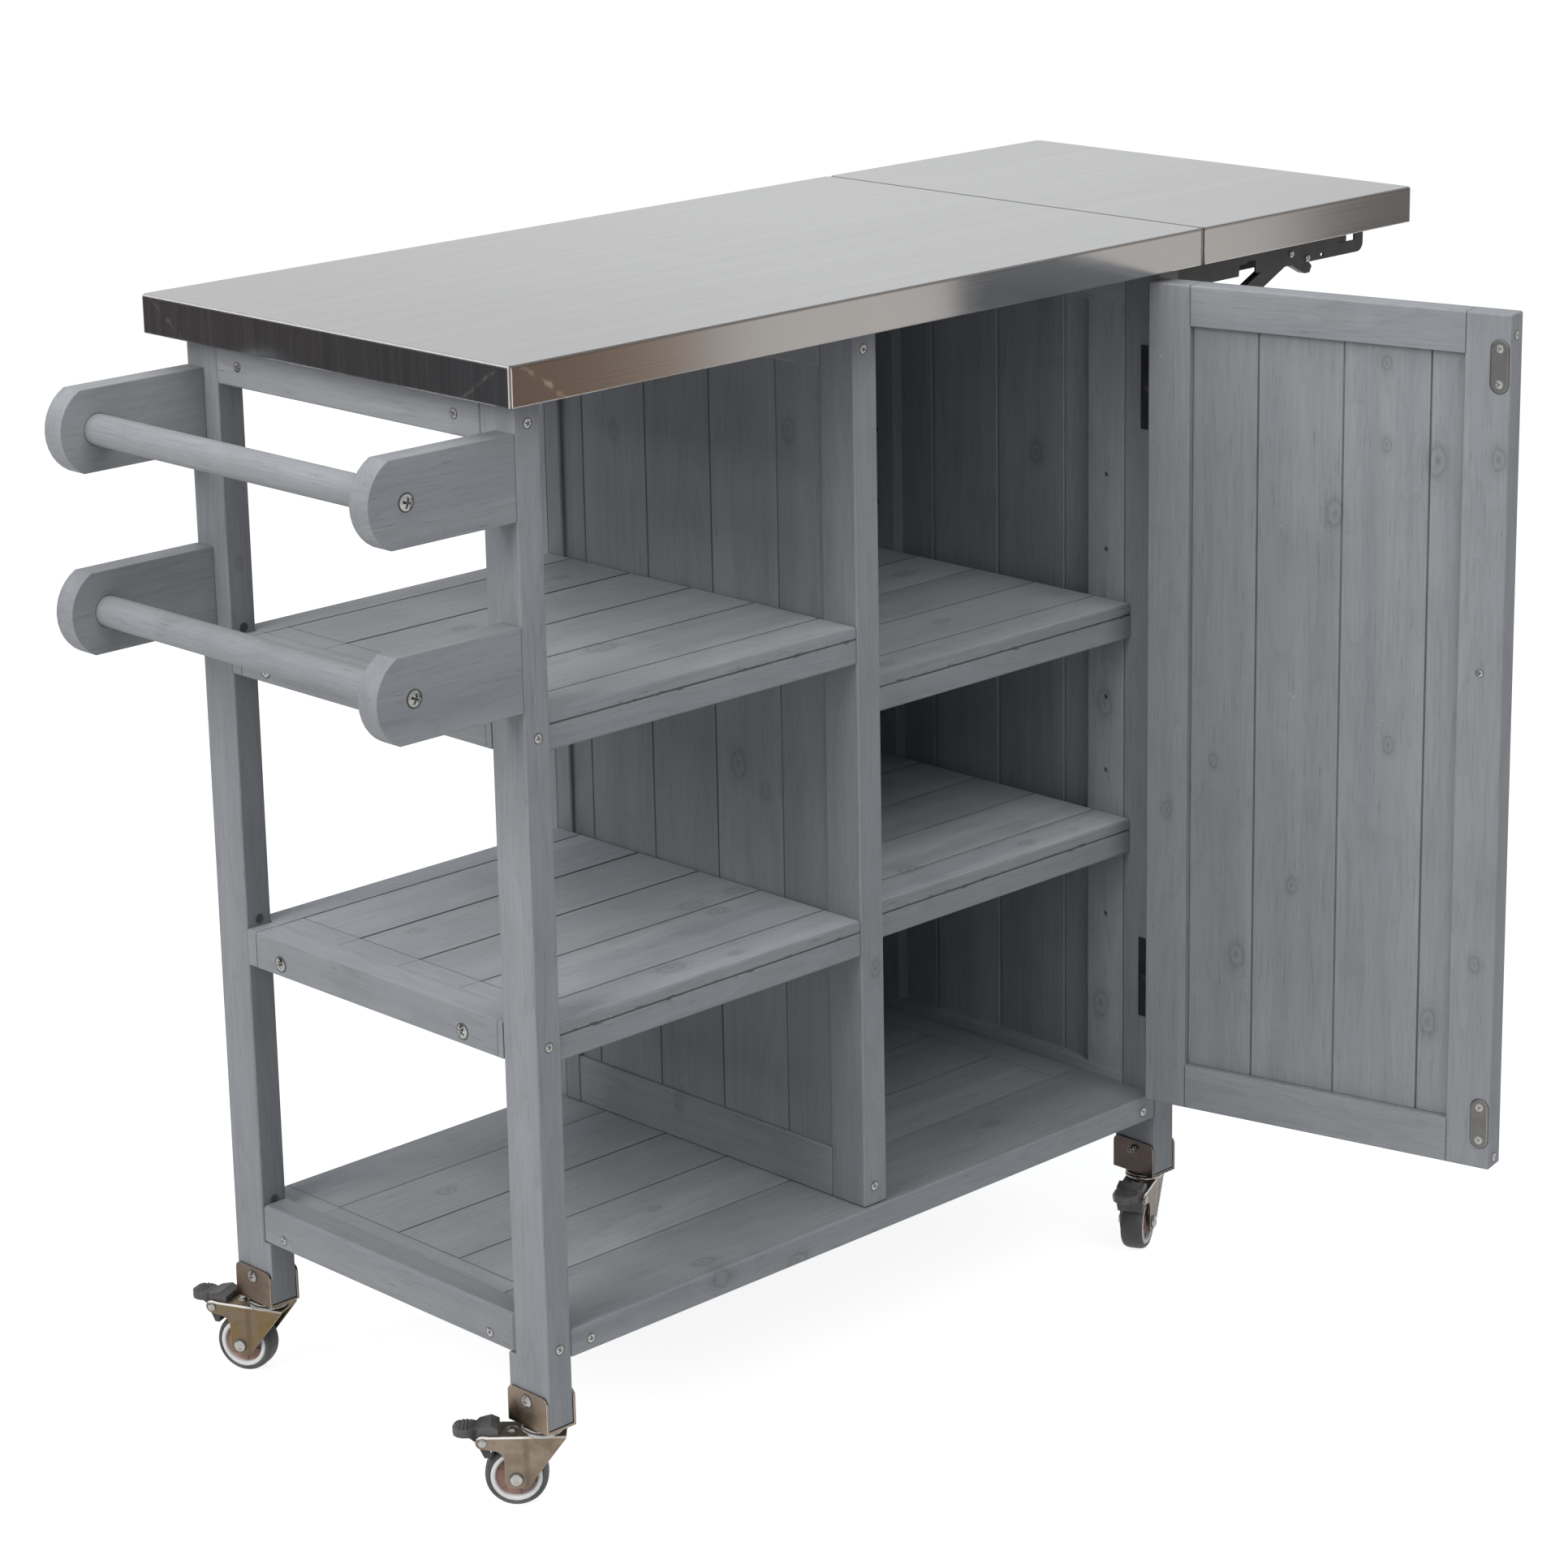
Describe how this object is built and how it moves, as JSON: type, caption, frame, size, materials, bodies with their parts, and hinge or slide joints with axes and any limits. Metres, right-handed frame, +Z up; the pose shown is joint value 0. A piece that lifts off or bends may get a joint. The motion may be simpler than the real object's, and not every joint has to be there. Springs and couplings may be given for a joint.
{
  "type": "kitchen prep cart",
  "caption": "Steel-topped wooden kitchen prep cart on braked swivel casters, with a drop leaf on folding brackets, open shelves, a cupboard door and towel-bar handles.",
  "frame": {"origin": "centre of the footprint of the overall box on the floor, with the door standing open as at rest", "axes": "+X along the cart towards the drop leaf, +Y from the front to the back, +Z up"},
  "size_m": [1.157, 0.7612, 0.914],
  "materials": {
    "black_plastic": "black matte",
    "black_steel": "black satin",
    "brushed_stainless": "fine brushed stainless steel",
    "core_board": "raw core board",
    "grey_rubber": "dark grey tread on a plastic hub",
    "grey_stained_pine": "grey stained pine, satin",
    "zinc_plated_steel": "bright zinc plate"
  },
  "bodies": {
    "cart": {"apron_back": "grey_stained_pine", "apron_left": "grey_stained_pine", "back_panel": "grey_stained_pine", "base_end_rail_left": "grey_stained_pine", "base_front_board": "grey_stained_pine", "base_planks": "grey_stained_pine", "caster_bracket_back_left": "zinc_plated_steel", "caster_bracket_back_right": "zinc_plated_steel", "caster_bracket_front_left": "zinc_plated_steel", "caster_bracket_front_right": "zinc_plated_steel", "divider_panel": "grey_stained_pine", "divider_post": "grey_stained_pine", "door_hinge_lower_frame_leaf": "black_steel", "door_hinge_upper_frame_leaf": "black_steel", "handle_arm_back_lower": "grey_stained_pine", "handle_arm_back_upper": "grey_stained_pine", "handle_arm_front_lower": "grey_stained_pine", "handle_arm_front_upper": "grey_stained_pine", "handle_rod_lower": "grey_stained_pine", "handle_rod_upper": "grey_stained_pine", "leaf_wall_bracket_back": "black_steel", "leaf_wall_bracket_front": "black_steel", "left_shelf_lower": "grey_stained_pine", "left_shelf_upper": "grey_stained_pine", "leg_back_left": "grey_stained_pine", "leg_back_right": "grey_stained_pine", "leg_front_left": "grey_stained_pine", "leg_front_right": "grey_stained_pine", "magnetic_catch_lower": "black_plastic", "magnetic_catch_upper": "black_plastic", "right_end_panel": "grey_stained_pine", "right_shelf_lower": "grey_stained_pine", "right_shelf_upper": "grey_stained_pine", "worktop_core": "core_board", "worktop_steel": "brushed_stainless"},
    "door": {"door_frame": "grey_stained_pine", "door_planks": "grey_stained_pine", "door_knob": "zinc_plated_steel", "door_hinge_lower_door_leaf": "black_steel", "door_hinge_upper_door_leaf": "black_steel"},
    "drop_leaf": {"leaf_steel": "brushed_stainless", "leaf_core": "core_board", "leaf_bracket_arm_front": "black_steel", "leaf_bracket_arm_back": "black_steel"},
    "stay_front": {"leaf_strut_front": "black_steel"},
    "release_lever_front": {"leaf_release_lever_front": "black_steel"},
    "stay_back": {"leaf_strut_back": "black_steel"},
    "release_lever_back": {"leaf_release_lever_back": "black_steel"},
    "swivel_front_left": {"caster_fork_front_left": "zinc_plated_steel"},
    "wheel_front_left": {"caster_wheel_front_left": "grey_rubber"},
    "brake_front_left": {"caster_pedal_front_left": "black_plastic"},
    "swivel_back_left": {"caster_fork_back_left": "zinc_plated_steel"},
    "wheel_back_left": {"caster_wheel_back_left": "grey_rubber"},
    "brake_back_left": {"caster_pedal_back_left": "black_plastic"},
    "swivel_front_right": {"caster_fork_front_right": "zinc_plated_steel"},
    "wheel_front_right": {"caster_wheel_front_right": "grey_rubber"},
    "brake_front_right": {"caster_pedal_front_right": "black_plastic"},
    "swivel_back_right": {"caster_fork_back_right": "zinc_plated_steel"},
    "wheel_back_right": {"caster_wheel_back_right": "grey_rubber"},
    "brake_back_right": {"caster_pedal_back_right": "black_plastic"}
  },
  "joints": [
    {"name": "door_hinge", "type": "hinge", "parent": "cart", "child": "door", "pos_m": [0.268, -0.05809, 0.5132], "axis": [0, 0, 1], "range_deg": [-103, 47]},
    {"name": "leaf_hinge", "type": "hinge", "parent": "cart", "child": "drop_leaf", "pos_m": [0.3208, 0.14191, 0.8685], "axis": [0, 1, 0], "range_deg": [0, 90]},
    {"name": "stay_pivot_front", "type": "hinge", "parent": "cart", "child": "stay_front", "pos_m": [0.3148, -0.03559, 0.8], "axis": [0, 1, 0], "range_deg": [0, 115]},
    {"name": "release_pivot_front", "type": "hinge", "parent": "drop_leaf", "child": "release_lever_front", "pos_m": [0.4768, -0.03559, 0.8605], "axis": [0, 1, 0], "range_deg": [-8, 0], "stiffness_Nm_per_rad": 0.03, "springref_deg": 11.46},
    {"name": "stay_pivot_back", "type": "hinge", "parent": "cart", "child": "stay_back", "pos_m": [0.3148, 0.31941, 0.8], "axis": [0, 1, 0], "range_deg": [0, 115]},
    {"name": "release_pivot_back", "type": "hinge", "parent": "drop_leaf", "child": "release_lever_back", "pos_m": [0.4768, 0.31941, 0.8605], "axis": [0, 1, 0], "range_deg": [-8, 0], "stiffness_Nm_per_rad": 0.03, "springref_deg": 11.46},
    {"name": "swivel_front_left", "type": "hinge", "parent": "cart", "child": "swivel_front_left", "pos_m": [-0.4287, -0.03159, 0.061], "axis": [0, 0, 1], "continuous": true},
    {"name": "wheel_spin_front_left", "type": "hinge", "parent": "swivel_front_left", "child": "wheel_front_left", "pos_m": [-0.44381, -0.017, 0.025], "axis": [-0.6947, -0.7193, 0], "continuous": true},
    {"name": "brake_pedal_front_left", "type": "hinge", "parent": "swivel_front_left", "child": "brake_front_left", "pos_m": [-0.46208, 0.00064, 0.0562], "axis": [-0.6947, -0.7193, 0], "range_deg": [0, 20]},
    {"name": "swivel_back_left", "type": "hinge", "parent": "cart", "child": "swivel_back_left", "pos_m": [-0.4287, 0.31541, 0.061], "axis": [0, 0, 1], "continuous": true},
    {"name": "wheel_spin_back_left", "type": "hinge", "parent": "swivel_back_left", "child": "wheel_back_left", "pos_m": [-0.43724, 0.33459, 0.025], "axis": [-0.9135, -0.4067, 0], "continuous": true},
    {"name": "brake_pedal_back_left", "type": "hinge", "parent": "swivel_back_left", "child": "brake_back_left", "pos_m": [-0.44757, 0.3578, 0.0562], "axis": [-0.9135, -0.4067, 0], "range_deg": [0, 20]},
    {"name": "swivel_front_right", "type": "hinge", "parent": "cart", "child": "swivel_front_right", "pos_m": [0.2823, -0.03159, 0.061], "axis": [0, 0, 1], "continuous": true},
    {"name": "wheel_spin_front_right", "type": "hinge", "parent": "swivel_front_right", "child": "wheel_front_right", "pos_m": [0.26343, -0.04079, 0.025], "axis": [0.4384, -0.8988, 0], "continuous": true},
    {"name": "brake_pedal_front_right", "type": "hinge", "parent": "swivel_front_right", "child": "brake_front_right", "pos_m": [0.2406, -0.05193, 0.0562], "axis": [0.4384, -0.8988, 0], "range_deg": [0, 20]},
    {"name": "swivel_back_right", "type": "hinge", "parent": "cart", "child": "swivel_back_right", "pos_m": [0.2823, 0.31541, 0.061], "axis": [0, 0, 1], "continuous": true},
    {"name": "wheel_spin_back_right", "type": "hinge", "parent": "swivel_back_right", "child": "wheel_back_right", "pos_m": [0.26411, 0.32591, 0.025], "axis": [-0.5, -0.866, 0], "continuous": true},
    {"name": "brake_pedal_back_right", "type": "hinge", "parent": "swivel_back_right", "child": "brake_back_right", "pos_m": [0.24212, 0.33861, 0.0562], "axis": [-0.5, -0.866, 0], "range_deg": [0, 20]}
  ],
  "couplings": [
    {"joint": "stay_pivot_front", "follows": "leaf_hinge", "ratio": 1.265},
    {"joint": "stay_pivot_back", "follows": "leaf_hinge", "ratio": 1.265}
  ]
}
